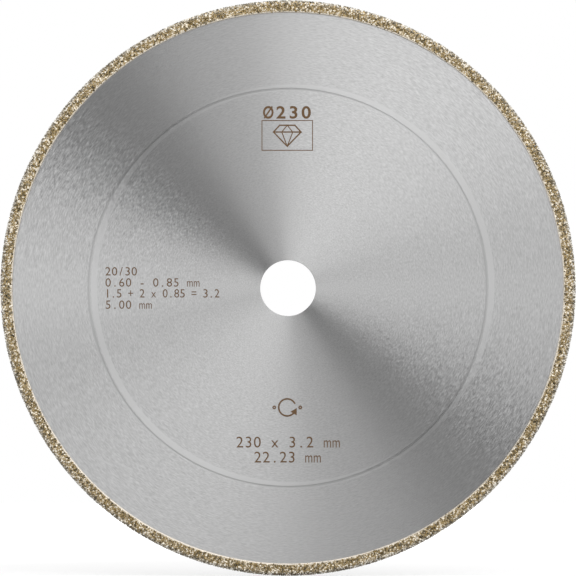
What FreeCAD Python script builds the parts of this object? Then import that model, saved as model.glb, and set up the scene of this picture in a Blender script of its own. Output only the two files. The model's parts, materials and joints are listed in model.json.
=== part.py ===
import FreeCAD, Part
import os
import Sketcher

# An electroplated diamond grinding disc for hand grinders: a thin steel blank, a nickel deposit
# wrapped round its rim, and rows of diamond grains that stand out of the nickel.
#
# The disc spins about Y. Its front face looks towards -Y, +Z is up, and the origin is the centre of
# the bore, halfway through the blank. Lengths are millimetres.

# Each driving dimension: its name in the sheet, its value, and what it measures.
DIMENSIONS = (
    ("outer_diameter", 230.0, "over the tips of the grains on the edge"),
    ("bore_diameter", 22.23, "standard arbor bore of a hand grinder"),
    ("bore_chamfer", 0.15, "broken edge at both ends of the bore"),
    ("core_thickness", 1.5, "steel sheet of the blank"),
    ("rim_chamfer", 0.5, "bevel on both edges of the blank's rim, under the nickel"),
    ("track_diameter", 159.0, "middle of the rolled tension track"),
    ("track_width", 1.0, "across the rolled tension track"),
    ("track_flank", 0.35, "width of each sloping side of the track"),
    ("track_depth", 0.05, "how far the roller presses the track in"),
    ("coating_width", 5.0, "from the disc's edge to the inner end of the nickel"),
    ("bond_thickness", 0.45, "nickel over the steel"),
    ("bond_ramp", 0.25, "sloping inner end of the nickel, where the plating mask ended"),
    ("bare_margin", 0.7, "nickel without grains, next to its inner end"),
    ("grain_width", 0.8, "across a grain where it leaves the nickel"),
    ("grain_tip_width", 0.45, "across a grain's blunt tip"),
    ("grain_exposure", 0.4, "how far a grain stands out of the nickel"),
    ("grains_per_row", 360, "grains in each ring"),
)

# Sizes that follow from the driving ones, as expressions on the sheet.
BORE_RADIUS = "(sizes.bore_diameter / 2)"
CORE_FACE = "(sizes.core_thickness / 2)"
CORE_RADIUS = "(sizes.outer_diameter / 2 - sizes.grain_exposure - sizes.bond_thickness)"
CORE_EDGE = f"({CORE_FACE} - sizes.rim_chamfer)"
CORE_FLAT_RADIUS = f"({CORE_RADIUS} - sizes.rim_chamfer)"
TRACK_RADIUS = "(sizes.track_diameter / 2)"
TRACK_HALF_WIDTH = "(sizes.track_width / 2)"
BOND_INNER_RADIUS = "(sizes.outer_diameter / 2 - sizes.coating_width)"
BOND_RADIUS = "(sizes.outer_diameter / 2 - sizes.grain_exposure)"
BOND_FACE = f"({CORE_FACE} + sizes.bond_thickness)"
# The nickel is a parallel offset of the rim's 45 degree bevels, so its corners slide along by its
# thickness times the tangent of 22.5 degrees, which is the square root of 2 less 1.
CORNER_SHIFT = "(sizes.bond_thickness * (sqrt(2) - 1))"
BOND_FLAT_RADIUS = f"({CORE_FLAT_RADIUS} + {CORNER_SHIFT})"
BOND_EDGE = f"({CORE_EDGE} + {CORNER_SHIFT})"
GRIT_INNER_RADIUS = f"({BOND_INNER_RADIUS} + sizes.bare_margin)"

# The rows of grains on each face, from the centre outwards, share the flat nickel evenly.
FACE_ROWS = ("inner", "middle", "outer")
FACE_ROW_PITCH = f"(({BOND_FLAT_RADIUS} - {GRIT_INNER_RADIUS}) / {len(FACE_ROWS)})"

doc = FreeCAD.newDocument("diamond_disc")
sizes = doc.addObject("Spreadsheet::Sheet", "sizes")
for row, (alias, number, meaning) in enumerate(DIMENSIONS, start=1):
    sizes.set(f"A{row}", alias)
    sizes.set(f"B{row}", str(number))
    sizes.set(f"C{row}", meaning)
    sizes.setAlias(f"B{row}", alias)
doc.recompute()


def value(expression):
    """What an expression on the sheet comes to now."""
    return float(sizes.evalExpression(expression))


def new_body(label):
    """An empty body that is one sub-part, whose label names its file."""
    body = doc.addObject("PartDesign::Body", label)
    body.Label = label
    body.Placement = FreeCAD.Placement()
    return body


def origin_feature(body, role):
    """One of the body's own origin planes or axes."""
    return next(feature for feature in body.Origin.OriginFeatures if feature.Role == role)


def new_sketch(body, name, plane):
    sketch = body.newObject("Sketcher::SketchObject", name)
    sketch.AttachmentSupport = (origin_feature(body, plane), [""])
    sketch.MapMode = "FlatFace"
    return sketch


def bind(sketch, constraint, expression):
    """Adds a sketch constraint whose size is an expression on the sheet."""
    number = sketch.addConstraint(constraint)
    sketch.setExpression(f"Constraints[{number}]", expression)


def section_sketch(body, name, corners):
    """A closed outline of straight sides in the plane of the axis.

    Each corner is a pair of expressions: how far it is from the spin axis, and from the mid plane.
    """
    sketch = new_sketch(body, name, "XY_Plane")
    points = [FreeCAD.Vector(value(radius), value(height), 0) for radius, height in corners]
    for start, end in zip(points, points[1:] + points[:1]):
        sketch.addGeometry(Part.LineSegment(start, end), False)
    for number, (radius, height) in enumerate(corners):
        before = (number - 1) % len(corners)
        sketch.addConstraint(Sketcher.Constraint("Coincident", before, 2, number, 1))
        bind(sketch, Sketcher.Constraint("DistanceX", -1, 1, number, 1, value(radius)), radius)
        bind(sketch, Sketcher.Constraint("DistanceY", -1, 1, number, 1, value(height)), height)
    return sketch


def circle_sketch(body, name, plane, radii):
    """Circles round the origin, one for each expression in radii."""
    sketch = new_sketch(body, name, plane)
    for number, radius in enumerate(radii):
        circle = Part.Circle(FreeCAD.Vector(0, 0, 0), FreeCAD.Vector(0, 0, 1), value(radius))
        sketch.addGeometry(circle, False)
        sketch.addConstraint(Sketcher.Constraint("Coincident", number, 3, -1, 1))
        bind(sketch, Sketcher.Constraint("Radius", number, value(radius)), radius)
    return sketch


def chamfer_circles(body, name, radius, size):
    """Bevels every full circle of one radius on the body's present tip."""
    doc.recompute()
    base = body.Tip
    edges = [
        f"Edge{number}"
        for number, edge in enumerate(base.Shape.Edges, start=1)
        if isinstance(edge.Curve, Part.Circle) and abs(edge.Curve.Radius - value(radius)) < 1e-6
    ]
    chamfer = body.newObject("PartDesign::Chamfer", name)
    chamfer.Base = (base, edges)
    chamfer.setExpression("Size", size)
    return chamfer


# The steel blank: a flat ring, bevelled at the bore and at the rim, with a narrow tension track rolled
# into each face. Rolling stretches the steel there, which keeps a thin disc flat and true at speed.
steel_core = new_body("steel_core")
blank_sketch = circle_sketch(steel_core, "blank_outline", "XZ_Plane", (CORE_RADIUS, BORE_RADIUS))
blank = steel_core.newObject("PartDesign::Pad", "blank")
blank.Profile = blank_sketch
blank.SideType = "Symmetric"
blank.setExpression("Length", "sizes.core_thickness")
chamfer_circles(steel_core, "rim_bevel", CORE_RADIUS, "sizes.rim_chamfer")
chamfer_circles(steel_core, "bore_bevel", BORE_RADIUS, "sizes.bore_chamfer")
doc.recompute()
plain_volume = steel_core.Shape.Volume

track_sketch = section_sketch(
    steel_core,
    "track_section",
    (
        (f"{TRACK_RADIUS} - {TRACK_HALF_WIDTH}", CORE_FACE),
        (f"{TRACK_RADIUS} - {TRACK_HALF_WIDTH} + sizes.track_flank", f"{CORE_FACE} - sizes.track_depth"),
        (f"{TRACK_RADIUS} + {TRACK_HALF_WIDTH} - sizes.track_flank", f"{CORE_FACE} - sizes.track_depth"),
        (f"{TRACK_RADIUS} + {TRACK_HALF_WIDTH}", CORE_FACE),
    ),
)
track = steel_core.newObject("PartDesign::Groove", "back_track")
track.Profile = track_sketch
track.ReferenceAxis = (origin_feature(steel_core, "Y_Axis"), [""])
track.Angle = 360
doc.recompute()
one_track_volume = plain_volume - steel_core.Shape.Volume
both_tracks = steel_core.newObject("PartDesign::Mirrored", "both_tracks")
both_tracks.Originals = [track]
both_tracks.MirrorPlane = (origin_feature(steel_core, "XZ_Plane"), [""])
steel_core.Tip = both_tracks
doc.recompute()
both_tracks_volume = plain_volume - steel_core.Shape.Volume
if one_track_volume <= 0 or abs(both_tracks_volume / one_track_volume - 2) > 1e-3:
    raise RuntimeError("the tension tracks cut the wrong volume")

# The nickel: one deposit that wraps the rim, from a sloping inner end on one face, round the bevelled
# edge, to the same place on the other face. It holds every grain.
nickel_bond = new_body("nickel_bond")
outer_side = (
    (BOND_INNER_RADIUS, CORE_FACE),
    (f"{BOND_INNER_RADIUS} + sizes.bond_ramp", BOND_FACE),
    (BOND_FLAT_RADIUS, BOND_FACE),
    (BOND_RADIUS, BOND_EDGE),
)
steel_side = (
    (CORE_FLAT_RADIUS, CORE_FACE),
    (CORE_RADIUS, CORE_EDGE),
)


def with_mirror(corners):
    """The corners, and then the same corners below the mid plane in reverse order."""
    return corners + tuple((radius, f"-{height}") for radius, height in reversed(corners))


bond_corners = with_mirror(outer_side) + tuple(reversed(with_mirror(steel_side)))
bond_sketch = section_sketch(nickel_bond, "bond_section", bond_corners)
bond = nickel_bond.newObject("PartDesign::Revolution", "bond")
bond.Profile = bond_sketch
bond.ReferenceAxis = (origin_feature(nickel_bond, "Y_Axis"), [""])
bond.Angle = 360


def grain_row(label, seat_radius, seat_height, direction, stagger):
    """A ring of blunt grains that stand on the nickel.

    seat_radius and seat_height are expressions for the middle of a grain's foot. direction is the
    way the tips point, in degrees from straight out towards the back face. A staggered row starts
    half a pitch round, so its grains fall between those of the rows beside it.
    """
    body = new_body(label)
    body.AllowCompound = True
    grain = body.newObject("PartDesign::AdditiveWedge", f"{label}_grain")
    upright = FreeCAD.Rotation(FreeCAD.Vector(0, 0, 1), direction - 90)
    seat = FreeCAD.Vector(value(seat_radius), value(seat_height), 0)
    grain.Placement = FreeCAD.Placement(seat, upright)
    grain.setExpression("Placement.Base.x", seat_radius)
    grain.setExpression("Placement.Base.y", seat_height)
    for side in ("X", "Z"):
        grain.setExpression(f"{side}min", "-sizes.grain_width / 2")
        grain.setExpression(f"{side}max", "sizes.grain_width / 2")
        grain.setExpression(f"{side}2min", "-sizes.grain_tip_width / 2")
        grain.setExpression(f"{side}2max", "sizes.grain_tip_width / 2")
    grain.Ymin = 0
    grain.setExpression("Ymax", "sizes.grain_exposure")
    doc.recompute()
    ring = body.newObject("PartDesign::PolarPattern", f"{label}_ring")
    ring.Originals = [grain]
    ring.Axis = (origin_feature(body, "Y_Axis"), [""])
    ring.Angle = 360
    ring.setExpression("Occurrences", "sizes.grains_per_row")
    body.Tip = ring
    if stagger:
        body.Placement = FreeCAD.Placement(FreeCAD.Vector(), FreeCAD.Rotation(FreeCAD.Vector(0, 1, 0), 1))
        body.setExpression("Placement.Rotation.Angle", "180 / sizes.grains_per_row")
    doc.recompute()
    return body


parts = [steel_core, nickel_bond]

# The rows on the two faces. The back face is at +Y, and its tips point along +90 degrees.
for face_name, sign, face_direction in (("front", "-", -90), ("back", "", 90)):
    for number, row_name in enumerate(FACE_ROWS):
        row_radius = f"{GRIT_INNER_RADIUS} + {number + 0.5} * {FACE_ROW_PITCH}"
        parts.append(
            grain_row(
                f"{face_name}_grit_{row_name}_row",
                row_radius,
                f"{sign}{BOND_FACE}",
                face_direction,
                number % 2 == 1,
            )
        )
    # The row on the bevel between this face and the edge, at the middle of the nickel's bevel.
    parts.append(
        grain_row(
            f"{face_name}_shoulder_grit",
            f"({BOND_FLAT_RADIUS} + {BOND_RADIUS}) / 2",
            f"{sign}({BOND_FACE} + {BOND_EDGE}) / 2",
            face_direction / 2,
            True,
        )
    )

# The row round the edge, whose tips set the disc's diameter.
parts.append(grain_row("edge_grit", BOND_RADIUS, "0", 0, False))

doc.recompute()
for item in doc.Objects:
    if {"Invalid", "Error"} & set(item.State):
        raise RuntimeError(f"{item.Label} failed to build: {item.State}")
for part in parts:
    if part.Shape.isNull() or not part.Shape.isValid():
        raise RuntimeError(f"{part.Label} has no valid shape")

os.makedirs("parts", exist_ok=True)
for part in parts:
    part.Shape.exportStep(f"parts/{part.Label}.step")
    solids = len(part.Shape.Solids)
    print(f"{part.Label}: {solids} solids, {part.Shape.Volume:.2f} mm3")
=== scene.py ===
# %% [markdown]
# # A diamond grinding disc
#
# The real object is a thin steel disc for a hand grinder. Its rim is wrapped in nickel that was
# grown on by electroplating, and the nickel holds thousands of diamond grains. The faces are
# brushed round and round, which gives the steel its bow-tie of light, and a laser has marked the
# front.
#
# The CAD model is loaded first. It fixes every size and place, so each piece below takes its
# measures from it. The disc stands in the XZ plane and its front face looks towards -Y.

# %% Load the CAD model
import json
import math
import random

import bmesh
import bpy
from mathutils import Matrix, Vector, noise


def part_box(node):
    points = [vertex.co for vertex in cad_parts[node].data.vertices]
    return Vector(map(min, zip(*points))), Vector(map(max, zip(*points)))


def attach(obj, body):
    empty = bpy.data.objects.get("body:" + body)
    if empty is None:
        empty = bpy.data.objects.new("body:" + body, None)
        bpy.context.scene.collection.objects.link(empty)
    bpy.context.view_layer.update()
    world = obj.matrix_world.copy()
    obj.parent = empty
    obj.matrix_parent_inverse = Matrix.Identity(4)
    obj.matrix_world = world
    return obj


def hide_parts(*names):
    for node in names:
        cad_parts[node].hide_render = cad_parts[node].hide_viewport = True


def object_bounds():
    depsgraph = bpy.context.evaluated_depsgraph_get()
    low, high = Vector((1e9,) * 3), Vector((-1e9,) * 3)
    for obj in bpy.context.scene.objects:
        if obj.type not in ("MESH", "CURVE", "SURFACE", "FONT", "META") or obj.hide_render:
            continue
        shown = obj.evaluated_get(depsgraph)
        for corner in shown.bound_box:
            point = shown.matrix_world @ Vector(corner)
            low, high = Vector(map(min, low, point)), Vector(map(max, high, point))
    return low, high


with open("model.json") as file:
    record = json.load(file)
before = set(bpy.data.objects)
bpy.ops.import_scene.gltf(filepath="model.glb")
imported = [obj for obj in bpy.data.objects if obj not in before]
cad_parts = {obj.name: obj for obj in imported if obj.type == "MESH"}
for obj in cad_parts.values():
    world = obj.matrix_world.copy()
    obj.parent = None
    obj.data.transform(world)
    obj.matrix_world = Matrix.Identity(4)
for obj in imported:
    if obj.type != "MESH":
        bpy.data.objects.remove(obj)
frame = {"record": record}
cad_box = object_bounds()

MM = 0.001
print("CAD box:", [round(size / MM, 2) for size in cad_box[1] - cad_box[0]], "mm")

# %% [markdown]
# ## Measures taken from the frame
#
# A node's box gives a diameter across X and a thickness across Y. The bore has no node of its
# own, so its radius comes from the mount that a grinder's spindle fits.

# %% Read the disc's sizes
core_low, core_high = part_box("steel_core")
bond_low, bond_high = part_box("nickel_bond")
mounts = {mount["name"]: mount for mount in frame["record"]["mounts"]}
BORE_RADIUS = mounts["arbor_bore"]["dims"]["r_mm"] * MM
CORE_FACE = core_high.y
CORE_RADIUS = core_high.x
BOND_FACE = bond_high.y
BOND_RADIUS = bond_high.x
DISC_RADIUS = cad_box[1].x
DISC_FACE = cad_box[1].y
GRAIN_EXPOSURE = DISC_FACE - BOND_FACE
radii = (BORE_RADIUS, CORE_RADIUS, BOND_RADIUS, DISC_RADIUS)
print("radii, mm:", *(round(radius / MM, 2) for radius in radii))
print("faces, mm:", *(round(face / MM, 2) for face in (CORE_FACE, BOND_FACE, DISC_FACE)))

# %% [markdown]
# ## Colours and shader nodes
#
# Colours are easiest to pick as the sRGB hex values that a colour picker shows, but shaders work
# in linear light, so one function turns one into the other. A second function adds a shader node,
# sets its inputs and links it, which keeps each material short enough to read.
#
# Some nodes have several inputs with one label, so an input may be given by its number instead. A
# Mix node's colours are inputs 6 and 7, and its mixed colour is output 2. Its plain numbers are
# inputs 2 and 3, and output 0.

# %% Colours


def hex_to_linear(code):
    """sRGB hex, such as "#8a7a55", as a linear colour with full alpha."""
    channels = [int(code[i : i + 2], 16) / 255 for i in (1, 3, 5)]
    return (*[c / 12.92 if c <= 0.04045 else ((c + 0.055) / 1.055) ** 2.4 for c in channels], 1.0)


print("a middle grey, #808080, sends back", round(hex_to_linear("#808080")[0], 3), "of the light")

# %% Shader nodes


def add_node(tree, kind, settings=None, stops=(), **inputs):
    """Adds a node. settings are its properties, stops a colour ramp's (position, colour) pairs.

    Each input is a value, or a socket to link from. It is named by its label with underscores for
    spaces, or by its number, such as _0.
    """
    node = tree.nodes.new(kind)
    for name, setting in (settings or {}).items():
        setattr(node, name, setting)
    for place, (position, colour) in enumerate(stops):
        ramp = node.color_ramp.elements
        stop = ramp[place] if place < len(ramp) else ramp.new(position)
        stop.position, stop.color = position, colour
    for name, value in inputs.items():
        label = name.replace("_", " ").strip()
        socket = node.inputs[int(label) if label.isdigit() else label]
        if isinstance(value, bpy.types.NodeSocket):
            tree.links.new(value, socket)
        else:
            socket.default_value = value
    return node


def new_material(name):
    """A material without nodes, and its node tree."""
    material = bpy.data.materials.new(name)
    material.use_nodes = True
    material.node_tree.nodes.clear()
    return material, material.node_tree


# %% [markdown]
# ## Brushed steel
#
# The blank is cold-rolled steel, finished by brushing it while it turns. Each scratch runs round
# the disc, so light spreads far across the scratches and hardly at all along them. That is what
# draws the bright and dark fans: a patch of steel mirrors a whole strip of the studio that runs
# out from the middle of the disc through that patch.
#
# The shader's anisotropy does this. Its tangent is the direction in which light spreads most, so
# it points straight out from the bore, and it is worked out from the Object coordinates. A second
# pattern, stretched round the disc, draws the scratches. Real ones are a few hundredths of a
# millimetre wide, too fine to show, so these are about a third of a millimetre.
#
# Two rings cross the brushing. The rolled tension track dips a little into the face, and its steel
# is painted darker there, as painted shade in the dip. Beside it runs a pale band about 2.4 mm
# wide, a painted highlight for the lit flank of a ridge. Its circle sits a little off centre, so
# the band lies outside the track on the right and inside it on the left, as a flank lit from the
# upper right would. It is also rougher, so it mirrors less sharply and stays pale where the steel
# round it turns dark.

# %% Directions and distances on the disc


def polar_coordinates(tree, centre=(0, 0, 0)):
    """The unit vector out from a centre and the distance from it, in the plane of the disc."""
    place = add_node(tree, "ShaderNodeTexCoord").outputs["Object"]
    off_centre = add_node(
        tree,
        "ShaderNodeVectorMath",
        {"operation": "MULTIPLY_ADD"},
        _0=place,
        _1=(1, 0, 1),
        _2=-Vector(centre),
    ).outputs[0]
    out = add_node(tree, "ShaderNodeVectorMath", {"operation": "NORMALIZE"}, _0=off_centre)
    radius = add_node(tree, "ShaderNodeVectorMath", {"operation": "LENGTH"}, _0=off_centre)
    return out.outputs["Vector"], radius.outputs["Value"]


def near_circle(tree, radius, circle, half_width, softness):
    """1 within half_width of a circle, and 0 further away, with an edge as soft as asked."""
    off = add_node(tree, "ShaderNodeMath", {"operation": "SUBTRACT"}, _0=radius, _1=circle)
    off = add_node(tree, "ShaderNodeMath", {"operation": "ABSOLUTE"}, _0=off.outputs[0])
    mask = add_node(
        tree,
        "ShaderNodeMapRange",
        Value=off.outputs[0],
        From_Min=half_width - softness,
        From_Max=half_width + softness,
        To_Min=1.0,
        To_Max=0.0,
    )
    return mask.outputs["Result"]


# %% The scratches
SCRATCH_WIDTH = 0.36 * MM
SCRATCH_ARC = 0.02  # length of a scratch over its radius


def scratch_pattern(tree, out, radius):
    """Noise stretched round the disc into streaks, from 0 to 1 and mostly near a half."""
    round_part = add_node(
        tree, "ShaderNodeVectorMath", {"operation": "SCALE"}, _0=out, Scale=1 / SCRATCH_ARC
    )
    across = add_node(tree, "ShaderNodeMath", {"operation": "DIVIDE"}, _0=radius, _1=SCRATCH_WIDTH)
    across = add_node(tree, "ShaderNodeCombineXYZ", Y=across.outputs[0])
    place = add_node(
        tree,
        "ShaderNodeVectorMath",
        {"operation": "ADD"},
        _0=round_part.outputs[0],
        _1=across.outputs[0],
    )
    streaks = add_node(
        tree, "ShaderNodeTexNoise", Vector=place.outputs[0], Scale=1.0, Detail=3.0, Roughness=0.6
    )
    return streaks.outputs["Fac"]


print("a scratch halfway out is", round(SCRATCH_ARC * DISC_RADIUS / 2 / MM, 2), "mm long")

# %% Brushed steel
STEEL_LIGHT = hex_to_linear("#cecece")
STEEL_DARK = hex_to_linear("#a8a8a8")
STEEL_ROUGHNESS = 0.34
SCRATCH_SWAY = 0.2  # how far a scratch strays from a true circle, in radians
SCRATCH_DEPTH = 0.02 * MM
SCRATCH_RELIEF = 0.1

TRACK_RADIUS = 79.5 * MM
TRACK_HALF_WIDTH = 0.5 * MM
TRACK_SOFTNESS = 0.15 * MM
# Painted shade: the steel in the track is darker, for the shade in its dip.
STEEL_PAINTED_TRACK_SHADE = hex_to_linear("#b0b0b0")

# Painted highlight: a pale, rougher band off centre beside the track, for the lit flank of a ridge.
HIGHLIGHT_BAND_CENTRE = (1.9 * MM, 0, 0.7 * MM)
HIGHLIGHT_BAND_RADIUS = 79.4 * MM
HIGHLIGHT_BAND_HALF_WIDTH = 1.2 * MM
HIGHLIGHT_BAND_SOFTNESS = 0.2 * MM
STEEL_PAINTED_HIGHLIGHT = hex_to_linear("#cccccc")
HIGHLIGHT_BAND_COVER = 0.9
HIGHLIGHT_BAND_ROUGHNESS = 0.4


def brushed_steel():
    """Brushed steel: bright and dark fans, streaks, a track's painted shade, a painted highlight
    band.
    """
    material, tree = new_material("brushed_steel")
    out, radius = polar_coordinates(tree)
    track_shade_cover = near_circle(tree, radius, TRACK_RADIUS, TRACK_HALF_WIDTH, TRACK_SOFTNESS)
    highlight_band_radius = polar_coordinates(tree, HIGHLIGHT_BAND_CENTRE)[1]
    in_highlight_band = near_circle(tree, highlight_band_radius, HIGHLIGHT_BAND_RADIUS, HIGHLIGHT_BAND_HALF_WIDTH, HIGHLIGHT_BAND_SOFTNESS)
    streaks = scratch_pattern(tree, out, radius)
    tone = add_node(
        tree, "ShaderNodeMapRange", Value=streaks, From_Min=0.25, From_Max=0.75
    ).outputs["Result"]
    painted_highlight_cover = add_node(
        tree, "ShaderNodeMath", {"operation": "MULTIPLY"}, _0=in_highlight_band, _1=HIGHLIGHT_BAND_COVER
    ).outputs[0]

    # The streaks give the steel's own tone; over it go the band's painted highlight and the track's
    # painted shade.
    colour = STEEL_DARK
    for cover, finish in (
        (tone, STEEL_LIGHT),
        (painted_highlight_cover, STEEL_PAINTED_HIGHLIGHT),
        (track_shade_cover, STEEL_PAINTED_TRACK_SHADE),
    ):
        colour = add_node(
            tree, "ShaderNodeMix", {"data_type": "RGBA"}, _0=cover, _6=colour, _7=finish
        ).outputs[2]
    roughness = add_node(
        tree, "ShaderNodeMapRange", Value=in_highlight_band, To_Min=STEEL_ROUGHNESS, To_Max=HIGHLIGHT_BAND_ROUGHNESS
    ).outputs["Result"]

    # The tangent points out from the bore, and strays a little to one side or the other.
    sway = add_node(
        tree, "ShaderNodeMapRange", Value=tone, To_Min=-SCRATCH_SWAY, To_Max=SCRATCH_SWAY
    ).outputs["Result"]
    along = add_node(
        tree, "ShaderNodeVectorMath", {"operation": "CROSS_PRODUCT"}, _0=out, _1=(0, 1, 0)
    )
    aside = add_node(
        tree, "ShaderNodeVectorMath", {"operation": "SCALE"}, _0=along.outputs[0], Scale=sway
    )
    tangent = add_node(
        tree, "ShaderNodeVectorMath", {"operation": "ADD"}, _0=out, _1=aside.outputs[0]
    )
    relief = add_node(
        tree, "ShaderNodeBump", Height=streaks, Strength=SCRATCH_RELIEF, Distance=SCRATCH_DEPTH
    )
    shader = add_node(
        tree,
        "ShaderNodeBsdfPrincipled",
        Base_Color=colour,
        Metallic=1.0,
        Roughness=roughness,
        Anisotropic=1.0,
        Tangent=tangent.outputs[0],
        Normal=relief.outputs["Normal"],
    )
    add_node(tree, "ShaderNodeOutputMaterial", Surface=shader.outputs["BSDF"])
    print(f"{material.name}: {len(tree.nodes)} nodes")
    return material


steel = brushed_steel()

# %% [markdown]
# ## From a bmesh to a piece
#
# Every piece is shaped as a bmesh around the origin and then handed to one function, which turns
# it into an object, ties it to the disc's one body and gives it its material.
#
# The disc is turned work, so most of its shape is a section spun round the Y axis. A full spin in
# over a thousand steps is slow, so one sector of twenty is spun and then copied round.

# %% Finish a piece


def make_piece(name, shape, material, smooth_angle=None):
    """A finished object at the origin, which moves with the disc and says what it is made of."""
    mesh = bpy.data.meshes.new(name)
    shape.to_mesh(mesh)
    shape.free()
    mesh.materials.append(material)
    if smooth_angle is not None:
        mesh.shade_smooth()
        mesh.set_sharp_from_angle(angle=math.radians(smooth_angle))
    piece = bpy.data.objects.new(name, mesh)
    bpy.context.scene.collection.objects.link(piece)
    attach(piece, "root")
    mesh.calc_loop_triangles()
    print(f"{name}: {len(mesh.loop_triangles)} triangles")
    return piece


# %% Spin a section into a ring
SECTORS = 20
MERGE_DISTANCE = 0.001 * MM


def spin_section(section, steps):
    """A closed ring: the section's corners, as (radius, height) pairs, spun about Y."""
    sector = bmesh.new()
    corners = [sector.verts.new((radius, height, 0)) for radius, height in section]
    edges = [sector.edges.new((a, b)) for a, b in zip(corners, corners[1:] + corners[:1])]
    bmesh.ops.spin(
        sector,
        geom=corners + edges,
        cent=(0, 0, 0),
        axis=(0, 1, 0),
        angle=math.tau / SECTORS,
        steps=steps // SECTORS,
    )
    mesh = bpy.data.meshes.new("sector")
    sector.to_mesh(mesh)
    sector.free()
    shape = bmesh.new()
    for _ in range(SECTORS):
        shape.from_mesh(mesh)
        mesh.transform(Matrix.Rotation(math.tau / SECTORS, 4, "Y"))
    bpy.data.meshes.remove(mesh)
    bmesh.ops.remove_doubles(shape, verts=shape.verts, dist=MERGE_DISTANCE)
    bmesh.ops.recalc_face_normals(shape, faces=shape.faces)
    return shape


def with_front(corners):
    """The back half of an outline and its mirror image on the front, in one run."""
    return corners + [(radius, -height) for radius, height in reversed(corners)]


# %% [markdown]
# ## The steel blank
#
# The CAD solid has the right shape, but its mesh has about thirty sides round the bore. The same
# section is spun here in fine steps, so the bore and the tension track stay round up close.
#
# The section starts at the bore, runs out along the back face with the dip of the rolled track,
# and turns round the bevelled rim, which the nickel hides. The front half mirrors it.

# %% The rolled track
TRACK_FLANK = 0.35 * MM
TRACK_DEPTH = 0.05 * MM
TRACK_STEPS = 6


def track_dip():
    """The rolled track across its width: smooth flanks, and a floor at its full depth."""
    half, corners = TRACK_HALF_WIDTH, []
    for step in range(2 * TRACK_STEPS + 1):
        across = -half + half * step / TRACK_STEPS
        inwards = min(1.0, (half - abs(across)) / TRACK_FLANK)
        depth = TRACK_DEPTH * (1 - math.cos(math.pi * inwards)) / 2
        corners.append((TRACK_RADIUS + across, CORE_FACE - depth))
    return corners


deepest = min(height for _, height in track_dip())
print("the track is", round((CORE_FACE - deepest) / MM, 3), "mm deep")

# %% Steel blank
BORE_BREAK = 0.15 * MM
RIM_BEVEL = 0.5 * MM
STEEL_STEPS = 720
STEEL_SMOOTH_ANGLE = 20

steel_section = with_front(
    [
        (BORE_RADIUS, CORE_FACE - BORE_BREAK),
        (BORE_RADIUS + BORE_BREAK, CORE_FACE),
        (BORE_RADIUS + 2 * BORE_BREAK, CORE_FACE),
        (TRACK_RADIUS - 2 * TRACK_HALF_WIDTH, CORE_FACE),
        *track_dip(),
        (TRACK_RADIUS + 2 * TRACK_HALF_WIDTH, CORE_FACE),
        (CORE_RADIUS - RIM_BEVEL, CORE_FACE),
        (CORE_RADIUS, CORE_FACE - RIM_BEVEL),
    ]
)
steel_shape = spin_section(steel_section, STEEL_STEPS)
steel_disc = make_piece("steel_disc", steel_shape, steel, STEEL_SMOOTH_ANGLE)
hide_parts("steel_core")

# %% [markdown]
# ## Electroplated nickel
#
# The disc hangs in a plating bath with its rim buried in diamond grit, and nickel grows over the
# steel and round the grains until it grips them by half their height. It comes out satin and a
# little warm, smooth where no grain lay and lumpy between the grains, because it climbs each one.
# Its inner lip is the palest. Among the grains the hollows of the nickel's lumps are painted darker
# and browner, partly a stain and partly painted shade between the grains.

# %% Electroplated nickel
NICKEL_LIP = hex_to_linear("#e2dacd")
NICKEL_PALE = hex_to_linear("#c9b58e")
# Painted shade and stain: the darker colour in the hollows among the grains.
NICKEL_HOLLOW_SHADE_AND_STAIN = hex_to_linear("#8a7448")
NICKEL_ROUGHNESS = 0.42
PLATING_LUMP = 0.5 * MM
LUMP_HEIGHT = 0.05 * MM
LUMP_RELIEF = 0.3
COATING_WIDTH = 5.0 * MM
BARE_MARGIN = 0.7 * MM
LIP_RADIUS = DISC_RADIUS - COATING_WIDTH
GRIT_RADIUS = LIP_RADIUS + BARE_MARGIN


def electroplated_nickel():
    """Satin nickel: a pale, smooth lip, and warm lumps whose hollows are painted darker, as stain
    and shade.
    """
    material, tree = new_material("electroplated_nickel")
    place = add_node(tree, "ShaderNodeTexCoord").outputs["Object"]
    lumps = add_node(
        tree, "ShaderNodeTexNoise", Vector=place, Scale=1 / PLATING_LUMP, Detail=4.0, Roughness=0.6
    ).outputs["Fac"]
    tone = add_node(
        tree, "ShaderNodeMapRange", Value=lumps, From_Min=0.35, From_Max=0.65
    ).outputs["Result"]
    # The hollows of the lumps take the darker colour, a stain and painted shade between the grains.
    shade_and_stain = add_node(
        tree, "ShaderNodeMix", {"data_type": "RGBA"}, _0=tone, _6=NICKEL_HOLLOW_SHADE_AND_STAIN, _7=NICKEL_PALE
    ).outputs[2]
    among_grains = add_node(
        tree,
        "ShaderNodeMapRange",
        Value=polar_coordinates(tree)[1],
        From_Min=GRIT_RADIUS - 0.15 * MM,
        From_Max=GRIT_RADIUS + 0.1 * MM,
    ).outputs["Result"]
    colour = add_node(
        tree, "ShaderNodeMix", {"data_type": "RGBA"}, _0=among_grains, _6=NICKEL_LIP, _7=shade_and_stain
    ).outputs[2]
    relief = add_node(
        tree, "ShaderNodeBump", Height=lumps, Strength=LUMP_RELIEF, Distance=LUMP_HEIGHT
    )
    shader = add_node(
        tree,
        "ShaderNodeBsdfPrincipled",
        Base_Color=colour,
        Metallic=1.0,
        Roughness=NICKEL_ROUGHNESS,
        Normal=relief.outputs["Normal"],
    )
    add_node(tree, "ShaderNodeOutputMaterial", Surface=shader.outputs["BSDF"])
    print(f"{material.name}: {len(tree.nodes)} nodes")
    return material


nickel = electroplated_nickel()

# %% [markdown]
# ## The nickel rim
#
# One deposit wraps the rim like the hem of a cloth. Its section follows the bevelled steel at an
# even distance. The section is cut into short runs before it is spun, so that the surface between
# the grains can be pushed in and out by a smooth noise, as real plating is. The inner lip, which
# the grit never touched, stays smooth.

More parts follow.
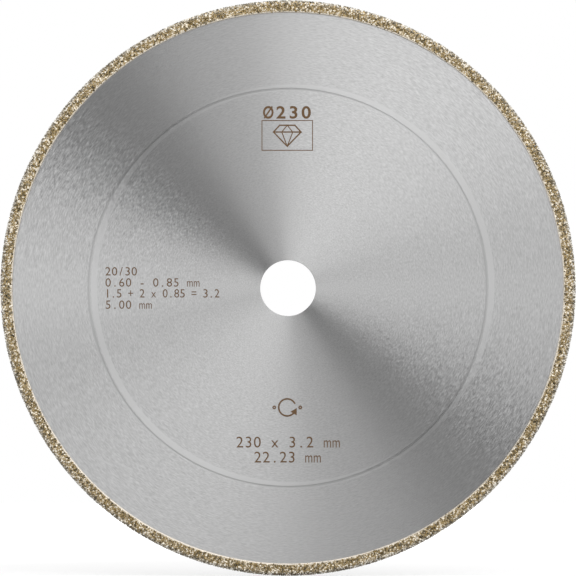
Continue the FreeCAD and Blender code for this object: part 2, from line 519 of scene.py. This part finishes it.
# %% The plated section
LIP_RAMP = 0.25 * MM
NICKEL_RUN = 0.28 * MM

nickel_depth = BOND_FACE - CORE_FACE
corner_shift = nickel_depth * (math.sqrt(2) - 1)
BOND_FLAT_RADIUS = CORE_RADIUS - RIM_BEVEL + corner_shift
BOND_EDGE = CORE_FACE - RIM_BEVEL + corner_shift


def in_short_runs(corners, longest):
    """The same outline with points added, so that no run is longer than the given length."""
    points = []
    for (r0, h0), (r1, h1) in zip(corners, corners[1:]):
        parts = max(1, math.ceil(math.hypot(r1 - r0, h1 - h0) / longest))
        points += [(r0 + (r1 - r0) * i / parts, h0 + (h1 - h0) * i / parts) for i in range(parts)]
    return points + [corners[-1]]


plated_side = with_front(
    [
        (LIP_RADIUS, CORE_FACE),
        (LIP_RADIUS + LIP_RAMP / 3, BOND_FACE - LIP_RAMP / 2),
        (LIP_RADIUS + LIP_RAMP, BOND_FACE),
        (BOND_FLAT_RADIUS, BOND_FACE),
        (BOND_RADIUS, BOND_EDGE),
    ]
)
steel_side = with_front(
    [(CORE_RADIUS - RIM_BEVEL, CORE_FACE), (CORE_RADIUS, CORE_FACE - RIM_BEVEL)]
)
nickel_section = in_short_runs(plated_side, NICKEL_RUN) + steel_side[::-1]
print("corners in the nickel's section:", len(nickel_section))

# %% Nickel rim
NICKEL_STEPS = 1600
NICKEL_SMOOTH_ANGLE = 60
WALL_MARGIN = 0.01 * MM  # tells the plated side from the wall that lies on the steel

nickel_shape = spin_section(nickel_section, NICKEL_STEPS)
nickel_shape.normal_update()
for vert in nickel_shape.verts:
    reach = Vector((vert.co.x, vert.co.z)).length
    plated = abs(vert.co.y) > CORE_FACE + WALL_MARGIN or reach > CORE_RADIUS + WALL_MARGIN
    if plated and reach > GRIT_RADIUS:
        vert.co += vert.normal * LUMP_HEIGHT * noise.noise(vert.co / PLATING_LUMP)
nickel_rim = make_piece("nickel_rim", nickel_shape, nickel, NICKEL_SMOOTH_ANGLE)
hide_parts("nickel_bond")

# %% [markdown]
# ## Diamond grit
#
# Coarse synthetic diamond for grinding stone is sieved to about 0.85 mm. The crystals are blocky,
# somewhere between a cube and an octahedron, many of them chipped. They are olive to honey yellow
# and nearly clear, so each facet either mirrors the studio or looks into a dark, warm inside. A
# high index of refraction and nearly smooth facets give part of that, with the mirrored light
# tinted by the stone. The rest is painted: each grain has its own tone, broken into patches under
# half a millimetre across for the facets, chips and inclusions too small to cut, and the tones run
# from near-black, painted shade for the dark insides, through the stone's own olive and honey, to
# near-white, painted glints. The outermost grains are coloured greyer.

# %% Diamond grit
# Tones from near-black, painted shade for dark insides, through the stone's olive and honey, to
# near-white, painted glints.
GRIT_TONES_AND_PAINTED_GLINTS = (
    (0.26, hex_to_linear("#0e0a02")),
    (0.4, hex_to_linear("#4c3c18")),
    (0.55, hex_to_linear("#a28649")),
    (0.7, hex_to_linear("#fff8ea")),
)
# The same for the outermost grains, coloured greyer: painted shade to painted glints.
OUTER_GRIT_TONES_AND_PAINTED_GLINTS = (
    (0.26, hex_to_linear("#15130f")),
    (0.4, hex_to_linear("#5c564e")),
    (0.55, hex_to_linear("#b5ad9f")),
    (0.7, hex_to_linear("#fffdf8")),
)
STONE_TINT = hex_to_linear("#fbeed2")
DIAMOND_IOR = 2.42
FACET_ROUGHNESS = 0.25
FACET_PATCH = 0.46 * MM
PATCH_SHARE = 0.6  # how much of the shade comes from the patch, the rest from the grain
GREYER_GRIT_RADIUS = 113.6 * MM
GREYER_GRIT_BLEND = 0.6 * MM


def diamond_grit():
    """Diamond grit: its shine, painted glints and painted dark insides, olive to honey, greyer
    outside.
    """
    material, tree = new_material("synthetic_diamond_grit")
    grain = add_node(tree, "ShaderNodeNewGeometry").outputs["Random Per Island"]
    place = add_node(tree, "ShaderNodeTexCoord").outputs["Object"]
    # Small patches of tone paint glints and dark insides onto single facets.
    patch = add_node(
        tree, "ShaderNodeTexVoronoi", Vector=place, Scale=1 / FACET_PATCH
    ).outputs["Color"]
    tone = add_node(
        tree, "ShaderNodeMix", {"data_type": "FLOAT"}, _0=PATCH_SHARE, _2=grain, _3=patch
    ).outputs[0]
    inner, outer = (
        add_node(tree, "ShaderNodeValToRGB", stops=shades, Fac=tone).outputs["Color"]
        for shades in (GRIT_TONES_AND_PAINTED_GLINTS, OUTER_GRIT_TONES_AND_PAINTED_GLINTS)
    )
    greyer_outside = add_node(
        tree,
        "ShaderNodeMapRange",
        Value=polar_coordinates(tree)[1],
        From_Min=GREYER_GRIT_RADIUS - GREYER_GRIT_BLEND,
        From_Max=GREYER_GRIT_RADIUS + GREYER_GRIT_BLEND,
    ).outputs["Result"]
    colour = add_node(
        tree, "ShaderNodeMix", {"data_type": "RGBA"}, _0=greyer_outside, _6=inner, _7=outer
    ).outputs[2]
    shader = add_node(
        tree,
        "ShaderNodeBsdfPrincipled",
        Base_Color=colour,
        Metallic=0.0,
        Roughness=FACET_ROUGHNESS,
        IOR=DIAMOND_IOR,
        Specular_Tint=STONE_TINT,
    )
    add_node(tree, "ShaderNodeOutputMaterial", Surface=shader.outputs["BSDF"])
    print(f"{material.name}: {len(tree.nodes)} nodes")
    return material


diamond = diamond_grit()

# %% [markdown]
# ## Crystals to copy
#
# Each crystal starts as a cube whose corners are cut off, more or less deeply, which runs from a
# cube to an octahedron. It is then squashed a little and chipped by one or two flat cuts. A few
# dozen different ones are enough, because each copy is turned and sized at random.
#
# Bevel leaves its corners and faces in an order that changes from run to run, and a grain's own
# shade depends on that order. So they are sorted by place, and every run gives the same grains.

# %% Crystals to copy
CRYSTALS = 30
CORNER_CUT = (0.28, 0.55)
LENGTHS = (0.8, 1.15)
THICKNESSES = (0.75, 1.0)
CHIPS = (1, 2)
CHIP_PLACE = (0.3, 0.42)
crystal_random = random.Random(1)


def in_fixed_order(elements, place):
    """Sorts a bmesh's vertices, edges or faces by place, and numbers them in that order."""
    ranks = {element: rank for rank, element in enumerate(sorted(elements, key=place))}
    elements.sort(key=lambda element: ranks[element])
    elements.index_update()


def sort_shape(shape):
    """Puts a bmesh's vertices in order of place, and its edges and faces in order of those."""
    in_fixed_order(shape.verts, lambda vert: [round(value, 4) for value in vert.co])
    for elements in (shape.edges, shape.faces):
        in_fixed_order(elements, lambda element: sorted(vert.index for vert in element.verts))


def crystal():
    """One blocky diamond about one unit across, as a mesh."""
    draw = crystal_random.uniform
    shape = bmesh.new()
    bmesh.ops.create_cube(shape, size=1.0)
    bmesh.ops.bevel(
        shape,
        geom=shape.verts[:],
        offset=draw(*CORNER_CUT),
        affect="VERTICES",
        segments=1,
        profile=0.5,
        material=-1,
        clamp_overlap=True,
    )
    sort_shape(shape)
    bmesh.ops.remove_doubles(shape, verts=shape.verts, dist=0.02)
    stretch = (draw(*LENGTHS), draw(*LENGTHS), draw(*THICKNESSES))
    bmesh.ops.scale(shape, verts=shape.verts, vec=stretch)
    for _ in range(crystal_random.choice(CHIPS)):
        facing = Vector([crystal_random.gauss(0, 1) for _ in range(3)]).normalized()
        bmesh.ops.bisect_plane(
            shape,
            geom=shape.verts[:] + shape.edges[:] + shape.faces[:],
            plane_co=facing * draw(*CHIP_PLACE),
            plane_no=facing,
            clear_outer=True,
        )
        rim = [edge for edge in shape.edges if edge.is_boundary]
        if rim:
            bmesh.ops.contextual_create(shape, geom=rim)
    bmesh.ops.triangulate(shape, faces=shape.faces)
    bmesh.ops.recalc_face_normals(shape, faces=shape.faces)
    sort_shape(shape)
    mesh = bpy.data.meshes.new("crystal")
    shape.to_mesh(mesh)
    shape.free()
    return mesh


crystals = [crystal() for _ in range(CRYSTALS)]
print("faces in a crystal:", sorted({len(mesh.polygons) for mesh in crystals}))

# %% [markdown]
# ## Where the grains lie
#
# Grit settles at random but can't overlap, so neighbours keep about one grain apart. Throwing
# darts at the unrolled rim, and keeping each dart that lands far enough from the others, gives
# just that. A grid of cells, each holding at most one grain, makes the test quick.
#
# The unrolled rim has five runs: the back face, its shoulder, the edge, the front shoulder and
# the front face. Grit starts a little out from the lip, which stays bare.

# %% Unroll the rim
grit_outline = with_front(
    [(GRIT_RADIUS, BOND_FACE), (BOND_FLAT_RADIUS, BOND_FACE), (BOND_RADIUS, BOND_EDGE)]
)
outline_ends = [0.0]
for (r0, h0), (r1, h1) in zip(grit_outline, grit_outline[1:]):
    outline_ends.append(outline_ends[-1] + math.hypot(r1 - r0, h1 - h0))
BAND_WIDTH = outline_ends[-1]
BAND_LENGTH = math.tau * DISC_RADIUS
print(f"the band is {BAND_WIDTH / MM:.1f} mm wide and {BAND_LENGTH / MM:.0f} mm long")

# %% Scatter the grains
GRAIN_SPACING = 0.7 * MM
THROWS_PER_GRAIN = 14
scatter_random = random.Random(2)


def scatter(length, width, spacing, throws):
    """Random points on a strip whose two ends meet, no two nearer than the spacing."""
    cell = spacing / math.sqrt(2)
    columns = int(length / cell)
    taken, points = {}, []
    for _ in range(throws):
        x, y = scatter_random.uniform(0, length), scatter_random.uniform(0, width)
        column, row = int(x / length * columns), int(y / cell)
        if (column, row) in taken:
            continue
        near = (
            taken.get(((column + i) % columns, row + j)) for i in range(-2, 3) for j in range(-2, 3)
        )
        if all(
            other is None
            or math.hypot((x - other[0] + length / 2) % length - length / 2, y - other[1]) > spacing
            for other in near
        ):
            taken[column, row] = (x, y)
            points.append((x, y))
    return points


throws = int(THROWS_PER_GRAIN * BAND_LENGTH * BAND_WIDTH / GRAIN_SPACING**2)
grain_points = scatter(BAND_LENGTH, BAND_WIDTH, GRAIN_SPACING, throws)
print(f"{throws} darts placed {len(grain_points)} grains")

# %% [markdown]
# ## The rings of grit
#
# Each ring of grains is a piece of its own and stands for one ring of the CAD model: three rows
# on each face, one on each shoulder and one round the edge. A grain is turned at random and sunk
# until only its top stands out of the nickel, never higher than the disc's real thickness allows.

# %% A grain's place on the rim
BACK_FACE, EDGE, FRONT_FACE = 0, 2, 4  # runs of the outline, with the shoulders between them
FACE_ROWS = ("inner", "middle", "outer")


def place_on_rim(along, across):
    """The point on the nickel, the way out of it, and the ring that a grain belongs to."""
    run = max(i for i in range(len(grit_outline) - 1) if outline_ends[i] <= across)
    share = (across - outline_ends[run]) / (outline_ends[run + 1] - outline_ends[run])
    (r0, h0), (r1, h1) = grit_outline[run], grit_outline[run + 1]
    radius, height = r0 + (r1 - r0) * share, h0 + (h1 - h0) * share
    out = Vector((h0 - h1, r1 - r0)).normalized()
    turn = along / DISC_RADIUS
    point = Vector((radius * math.cos(turn), height, radius * math.sin(turn)))
    normal = Vector((out.x * math.cos(turn), out.y, out.x * math.sin(turn)))
    side = "back" if height > 0 else "front"
    if run == EDGE:
        return point, normal, "edge_grit"
    if run not in (BACK_FACE, FRONT_FACE):
        return point, normal, f"{side}_shoulder_grit"
    outwards = share if run == BACK_FACE else 1 - share
    row = FACE_ROWS[min(len(FACE_ROWS) - 1, int(len(FACE_ROWS) * outwards))]
    return point, normal, f"{side}_grit_{row}_row"


def excess_outside(corner):
    """How far a corner lies outside the disc's real thickness or radius."""
    reach = math.hypot(corner.x, corner.z)
    return max(abs(corner.y) - DISC_FACE, reach - DISC_RADIUS)


# %% Rings of grit
GRAIN_SIZE = 0.85 * MM
SIZE_RANGE = (0.95, 1.25)
EXPOSED_RANGE = (0.9, 1.0)
grain_random = random.Random(3)

rings = {}
for along, across in grain_points:
    point, normal, ring = place_on_rim(along, across)
    mesh = grain_random.choice(crystals)
    turn = Matrix.Rotation(grain_random.uniform(0, math.tau), 3, "X")
    turn = Matrix.Rotation(grain_random.uniform(0, math.tau), 3, "Y") @ turn
    turn = Matrix.Rotation(grain_random.uniform(0, math.tau), 3, "Z") @ turn
    turn = turn * GRAIN_SIZE * grain_random.uniform(*SIZE_RANGE)
    corners = [turn @ vert.co for vert in mesh.vertices]
    stands_out = GRAIN_EXPOSURE * grain_random.uniform(*EXPOSED_RANGE)
    height = stands_out - max(corner.dot(normal) for corner in corners)
    # A shoulder faces out at 45 degrees, so a grain there sinks further to clear the same height.
    over = max(excess_outside(point + normal * height + corner) for corner in corners)
    height -= max(0.0, over) * math.sqrt(2)
    grain_place = Matrix.Translation(point + normal * height) @ turn.to_4x4()
    mesh.transform(grain_place)
    rings.setdefault(ring, bmesh.new()).from_mesh(mesh)
    mesh.transform(grain_place.inverted())

for ring, shape in sorted(rings.items()):
    piece = make_piece(ring.replace("_grit", "_diamonds"), shape, diamond)
    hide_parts(ring)
for mesh in crystals:
    bpy.data.meshes.remove(mesh)

# %% [markdown]
# ## Laser marks
#
# A laser heats the steel until a thin brown oxide grows on it, so the marks are as flat as paint
# and keep a little of the steel's shine. Here they are plates a hundredth of a millimetre proud
# of the face, so they never flicker against it.

# %% Annealed oxide
MARK_PROUD = 0.012 * MM
OXIDE_DARK = hex_to_linear("#46331f")
OXIDE_LIGHT = hex_to_linear("#80613f")
OXIDE_PATCH = 0.4 * MM
OXIDE_METALLIC = 0.35
OXIDE_ROUGHNESS = 0.5


def annealed_oxide():
    """Brown oxide grown on the steel by a laser: flat and a little patchy, with a dull shine."""
    material, tree = new_material("laser_annealed_oxide")
    place = add_node(tree, "ShaderNodeTexCoord").outputs["Object"]
    film = add_node(
        tree, "ShaderNodeTexNoise", Vector=place, Scale=1 / OXIDE_PATCH, Detail=2.0
    ).outputs["Fac"]
    colour = add_node(
        tree, "ShaderNodeMix", {"data_type": "RGBA"}, _0=film, _6=OXIDE_DARK, _7=OXIDE_LIGHT
    ).outputs[2]
    shader = add_node(
        tree,
        "ShaderNodeBsdfPrincipled",
        Base_Color=colour,
        Metallic=OXIDE_METALLIC,
        Roughness=OXIDE_ROUGHNESS,
    )
    add_node(tree, "ShaderNodeOutputMaterial", Surface=shader.outputs["BSDF"])
    print(f"{material.name}: {len(tree.nodes)} nodes")
    return material


oxide = annealed_oxide()

# %% [markdown]
# ## The figures
#
# The figures are the disc's own sizes, set in evenly spaced cells as a laser's font is. Each
# character starts as a text object, is turned into a mesh, and only then is put in its place, so
# the finished piece is a plain mesh at the origin.

# %% One character
STAND_UP = Matrix.Rotation(math.pi / 2, 4, "X")
CURVE_STEPS = 4


def glyph(character, boldness):
    """One character as a thin plate in the XY plane, about one unit high."""
    curve = bpy.data.curves.new("glyph", "FONT")
    curve.body = character
    curve.offset = boldness
    curve.extrude = 1.0
    curve.resolution_u = CURVE_STEPS
    holder = bpy.data.objects.new("glyph", curve)
    mesh = bpy.data.meshes.new_from_object(holder)
    bpy.data.objects.remove(holder)
    bpy.data.curves.remove(curve)
    return mesh


def extent(mesh, axis):
    """The lowest and the highest coordinate of a mesh along an axis."""
    values = [vert.co[axis] for vert in mesh.vertices]
    return min(values), max(values)


zero = glyph("0", 0.0)
zero_low, zero_high = extent(zero, 1)
FIGURE_HEIGHT = zero_high - zero_low
bpy.data.meshes.remove(zero)
print("a zero is", round(FIGURE_HEIGHT, 3), "of the font's size high")

# %% Figures
CELL_FILL = 0.84  # the widest a character may be, over its cell


def write(shape, text, left, baseline, height, advance, boldness=0.0, widen=1.0):
    """Adds a line of evenly spaced characters to a bmesh, on the disc's front face, in mm."""
    size = height / FIGURE_HEIGHT
    for place, character in enumerate(text):
        if character == " ":
            continue
        mesh = glyph(character, boldness)
        low, high = extent(mesh, 0)
        across_size = min(size * widen, CELL_FILL * advance / (high - low))
        scale = Matrix.Diagonal((across_size, size, MARK_PROUD / MM, 1))
        centre = Matrix.Translation((-(low + high) / 2, 0, 0))
        across = left + advance * (place + 0.5)
        spot = Matrix.Translation((across * MM, -CORE_FACE, baseline * MM))
        mesh.transform(spot @ STAND_UP @ Matrix.Scale(MM, 4) @ scale @ centre)
        shape.from_mesh(mesh)
        bpy.data.meshes.remove(mesh)


def marking(name, lines):
    """A piece made of lines of figures; each line is a set of write's arguments."""
    shape = bmesh.new()
    for line in lines:
        write(shape, *line)
    return make_piece(name, shape, oxide)


# Each line says its text, then its left end, baseline, height and cell width in millimetres. The
# large line at the top is also bolder and wider.
marking("size_figures", [("\u00d8230", -10.4, 67.8, 4.8, 5.05, 0.022, 1.12)])
marking(
    "grit_figures",
    [
        ("20/30", -73.2, 5.0, 3.4, 2.62),
        ("0.60 - 0.85 mm", -73.2, 0.56, 3.4, 2.72),
        ("1.5 + 2 x 0.85 = 3.2", -73.2, -3.8, 3.4, 2.3),
        ("5.00 mm", -73.2, -8.3, 3.4, 2.72),
    ],
)
marking(
    "bore_figures",
    [
        ("230 x 3.2 mm", -21.0, -63.7, 4.4, 3.5),
        ("22.23 mm", -13.8, -69.7, 4.4, 3.4),
    ],
)

# %% [markdown]
# ## The pictures
#
# A framed outline of a cut stone says what the disc grinds, and an arrow between two dots says
# which way it turns. Both are drawn as a laser draws them, with lines of one width.
#
# Each straight bar of a line stands half a micron higher than the last one. Where two bars
# overlap, their faces then never lie in one plane, which would render black.

# %% Lines of the pictures
BAR_STEP = 0.0005 * MM
BAR_FACES = 6


def stroke(shape, points, width):
    """Adds a bent line of the given width, through points in mm on the disc's front face."""
    for (x0, z0), (x1, z1) in zip(points, points[1:]):
        length = math.hypot(x1 - x0, z1 - z0)
        proud = MARK_PROUD + len(shape.faces) // BAR_FACES * BAR_STEP
        size = ((length + width) * MM, 2 * proud, width * MM)
        place = Matrix.Translation(((x0 + x1) / 2 * MM, -CORE_FACE, (z0 + z1) / 2 * MM))
        turn = Matrix.Rotation(-math.atan2(z1 - z0, x1 - x0), 4, "Y")
        bmesh.ops.create_cube(shape, size=1.0, matrix=place @ turn @ Matrix.Diagonal((*size, 1)))


def around(centre, radius, first, last, parts):
    """Points on an arc, in mm, between two angles in degrees."""
    angles = [math.radians(first + (last - first) * i / parts) for i in range(parts + 1)]
    return [(centre[0] + radius * math.cos(a), centre[1] + radius * math.sin(a)) for a in angles]


# %% Framed stone
FRAME_LEFT, FRAME_RIGHT, FRAME_FOOT, FRAME_HEAD = -10.4, 9.8, 55.0, 66.9
FRAME_LINE = 0.35
STONE_MIDDLE = -0.3
STONE_TOP, STONE_GIRDLE, STONE_POINT = 65.0, 62.3, 56.6
TOP_HALF, GIRDLE_HALF, FACET_HALF = 3.0, 5.5, 2.2
OUTLINE_WIDTH, FACET_WIDTH = 0.55, 0.4

frame_shape = bmesh.new()
frame_corners = [
    (FRAME_LEFT, FRAME_FOOT),
    (FRAME_RIGHT, FRAME_FOOT),
    (FRAME_RIGHT, FRAME_HEAD),
    (FRAME_LEFT, FRAME_HEAD),
]
stroke(frame_shape, frame_corners + frame_corners[:1], FRAME_LINE)
make_piece("picture_frame", frame_shape, oxide)

stone_shape = bmesh.new()
for height, half in ((STONE_TOP, TOP_HALF), (STONE_GIRDLE, GIRDLE_HALF)):
    ends = [(STONE_MIDDLE - half, height), (STONE_MIDDLE + half, height)]
    stroke(stone_shape, ends, OUTLINE_WIDTH)
for side in (-1, 1):
    top_end = (STONE_MIDDLE + side * TOP_HALF, STONE_TOP)
    girdle_end = (STONE_MIDDLE + side * GIRDLE_HALF, STONE_GIRDLE)
    facet_end = (STONE_MIDDLE + side * FACET_HALF, STONE_GIRDLE)
    point = (STONE_MIDDLE, STONE_POINT)
    stroke(stone_shape, [top_end, girdle_end, point], OUTLINE_WIDTH)
    stroke(stone_shape, [(STONE_MIDDLE, STONE_TOP), facet_end, point], FACET_WIDTH)
make_piece("cut_stone_picture", stone_shape, oxide)

# %% Turning arrow
ARROW_CENTRE, ARROW_RADIUS = (-0.3, -47.7), 3.4
ARROW_START, ARROW_END, HEAD_LENGTH = 30, 330, 18  # degrees
ARROW_WIDTH, HEAD_RADIUS = 0.65, 1.7
HEAD_TURN = 30  # degrees, which bring a corner of the three-sided head onto the arc
DOT_DISTANCE, DOT_RADIUS, DOT_WIDTH = 5.2, 0.5, 0.5

arrow_shape = bmesh.new()
arc = around(ARROW_CENTRE, ARROW_RADIUS, ARROW_START, ARROW_END - HEAD_LENGTH, 24)
stroke(arrow_shape, arc, ARROW_WIDTH)
for x in (ARROW_CENTRE[0] - DOT_DISTANCE, ARROW_CENTRE[0] + DOT_DISTANCE):
    stroke(arrow_shape, around((x, ARROW_CENTRE[1]), DOT_RADIUS, 0, 360, 8), DOT_WIDTH)
tip = around(ARROW_CENTRE, ARROW_RADIUS, ARROW_END, ARROW_END, 1)[0]
head_place = Matrix.Translation((tip[0] * MM, -CORE_FACE, tip[1] * MM))
head_turn = Matrix.Rotation(math.radians(HEAD_TURN), 4, "Y")
bmesh.ops.create_cone(
    arrow_shape,
    cap_ends=True,
    segments=3,
    radius1=HEAD_RADIUS * MM,
    radius2=HEAD_RADIUS * MM,
    depth=4 * MARK_PROUD,
    matrix=head_place @ head_turn @ STAND_UP,
)
make_piece("turning_arrow", arrow_shape, oxide)

# %% [markdown]
# ## The table
#
# The disc stands on a plain pale table in front of a white backdrop. The table is lit from below
# for the camera, more brightly further out, so it runs into the backdrop without a line and still
# shows a soft shadow under the disc.

# %% Floor
FLOOR_SIZE = 2.0
FLOOR_GAP = 0.02 * MM
TABLE_GREY = hex_to_linear("#b4b4b4")
TABLE_ROUGHNESS = 0.9
TABLE_GLOW, FAR_GLOW = 0.5, 1.2
GLOW_STARTS, GLOW_ENDS = 0.2, 0.6  # metres from the middle of the disc

floor_shape = bmesh.new()
bmesh.ops.create_grid(floor_shape, x_segments=1, y_segments=1, size=FLOOR_SIZE / 2)
bmesh.ops.translate(floor_shape, verts=floor_shape.verts, vec=(0, 0, cad_box[0].z - FLOOR_GAP))
floor_mesh = bpy.data.meshes.new("floor")
floor_shape.to_mesh(floor_mesh)
floor_shape.free()

acrylic, tree = new_material("lit_white_acrylic")
away = add_node(
    tree,
    "ShaderNodeVectorMath",
    {"operation": "LENGTH"},
    _0=add_node(tree, "ShaderNodeTexCoord").outputs["Object"],
).outputs["Value"]
brightness = add_node(
    tree,
    "ShaderNodeMapRange",
    Value=away,
    From_Min=GLOW_STARTS,
    From_Max=GLOW_ENDS,
    To_Min=TABLE_GLOW,
    To_Max=FAR_GLOW,
).outputs["Result"]
seen = add_node(tree, "ShaderNodeLightPath").outputs["Is Camera Ray"]
glow = add_node(tree, "ShaderNodeMath", {"operation": "MULTIPLY"}, _0=seen, _1=brightness)
shader = add_node(
    tree,
    "ShaderNodeBsdfPrincipled",
    Base_Color=TABLE_GREY,
    Roughness=TABLE_ROUGHNESS,
    Emission_Color=(1, 1, 1, 1),
    Emission_Strength=glow.outputs[0],
)
add_node(tree, "ShaderNodeOutputMaterial", Surface=shader.outputs["BSDF"])
floor_mesh.materials.append(acrylic)

floor = bpy.data.objects.new("floor", floor_mesh)
bpy.context.scene.collection.objects.link(floor)
print("the table's top is at", round(floor_mesh.vertices[0].co.z / MM, 2), "mm")

# %% [markdown]
# ## The studio
#
# Brushed steel only looks like steel if it has something to mirror, so the studio is white with
# two dark sides, upper left and lower right, and the camera sees plain white behind the disc. Its
# tone depends only on the angle from the dark line, as each patch of steel mirrors one strip of
# it.

# %% World
LIGHT_SIDE = math.radians(45)
# The tone at each angle from the dark line, where 1 is a right angle.
STUDIO_TONES = ((0.0, 0.0), (0.08, 0.0), (0.14, 0.42), (0.21, 0.83), (0.35, 0.93), (1.0, 0.94))

world = bpy.data.worlds.new("studio")
world.use_nodes = True
world_tree = world.node_tree
world_tree.nodes.clear()
ray = add_node(world_tree, "ShaderNodeTexCoord").outputs["Generated"]


def reach_along(angle):
    """How far a ray points along a line at this angle in the disc's plane, either way."""
    line = (math.cos(angle), 0, math.sin(angle))
    dot = add_node(
        world_tree, "ShaderNodeVectorMath", {"operation": "DOT_PRODUCT"}, _0=ray, _1=line
    ).outputs["Value"]
    size = add_node(world_tree, "ShaderNodeMath", {"operation": "ABSOLUTE"}, _0=dot)
    return size.outputs[0]


lit = reach_along(LIGHT_SIDE)
unlit = reach_along(LIGHT_SIDE + math.pi / 2)
angle = add_node(world_tree, "ShaderNodeMath", {"operation": "ARCTAN2"}, _0=lit, _1=unlit)
turned = add_node(
    world_tree, "ShaderNodeMapRange", Value=angle.outputs[0], From_Min=0.0, From_Max=math.pi / 2
).outputs["Result"]
greys = [(position, (value, value, value, 1)) for position, value in STUDIO_TONES]
tone = add_node(world_tree, "ShaderNodeValToRGB", stops=greys, Fac=turned).outputs["Color"]
seen = add_node(world_tree, "ShaderNodeLightPath").outputs["Is Camera Ray"]
strength = add_node(
    world_tree, "ShaderNodeMix", {"data_type": "FLOAT"}, _0=seen, _2=tone, _3=1.0
).outputs[0]
background = add_node(
    world_tree, "ShaderNodeBackground", Color=(1, 1, 1, 1), Strength=strength
)
add_node(world_tree, "ShaderNodeOutputWorld", Surface=background.outputs[0])
bpy.context.scene.world = world
bpy.context.scene.view_settings.view_transform = "Standard"
print("the studio's tones:", *(value for _, value in STUDIO_TONES))

# %% [markdown]
# ## The lamps
#
# Three softboxes add what the plain studio lacks. One overhead lights the table and casts the
# soft shadow, one at the upper right brightens the fan on that side, and a small one at the left
# brightens the fan that faces it.

# %% Lamps
# Each lamp says its name, its place and its side in metres, and its power in watts.
SOFTBOXES = (
    ("top_softbox", (0.0, 0.0, 1.4), 1.6, 8.0),
    ("upper_right_softbox", (0.42, -1.0, 0.62), 1.0, 3.9),
    ("left_softbox", (-0.6, -0.75, 0.08), 0.4, 0.7),
)

for name, place, side, watts in SOFTBOXES:
    lamp = bpy.data.lights.new(name, "AREA")
    lamp.shape = "RECTANGLE"
    lamp.size, lamp.size_y, lamp.energy = side, side, watts
    stand = bpy.data.objects.new(name, lamp)
    stand.location = place
    stand.rotation_euler = (-Vector(place)).to_track_quat("-Z", "Y").to_euler()
    bpy.context.scene.collection.objects.link(stand)
    print(f"{name}: {watts} W, {Vector(place).length:.2f} m away")

# %% [markdown]
# ## The camera
#
# It looks square onto the front face from three metres away through a long lens, so the disc
# fills the frame and almost nothing of the bore's wall shows.

# %% Camera
CAMERA_DISTANCE = 3.0
SENSOR_WIDTH = 36.0
SEEN_WIDTH = 2.0005 * DISC_RADIUS  # what the frame shows across the front face

camera_data = bpy.data.cameras.new("camera")
camera_data.sensor_width = SENSOR_WIDTH
camera_data.lens = SENSOR_WIDTH * (CAMERA_DISTANCE - CORE_FACE) / SEEN_WIDTH
camera_data.clip_end = 100.0
camera = bpy.data.objects.new("camera", camera_data)
camera.location = (0, -CAMERA_DISTANCE, 0)
camera.rotation_euler = (math.pi / 2, 0, 0)
bpy.context.scene.collection.objects.link(camera)
bpy.context.scene.camera = camera
print("lens:", round(camera_data.lens, 1), "mm")
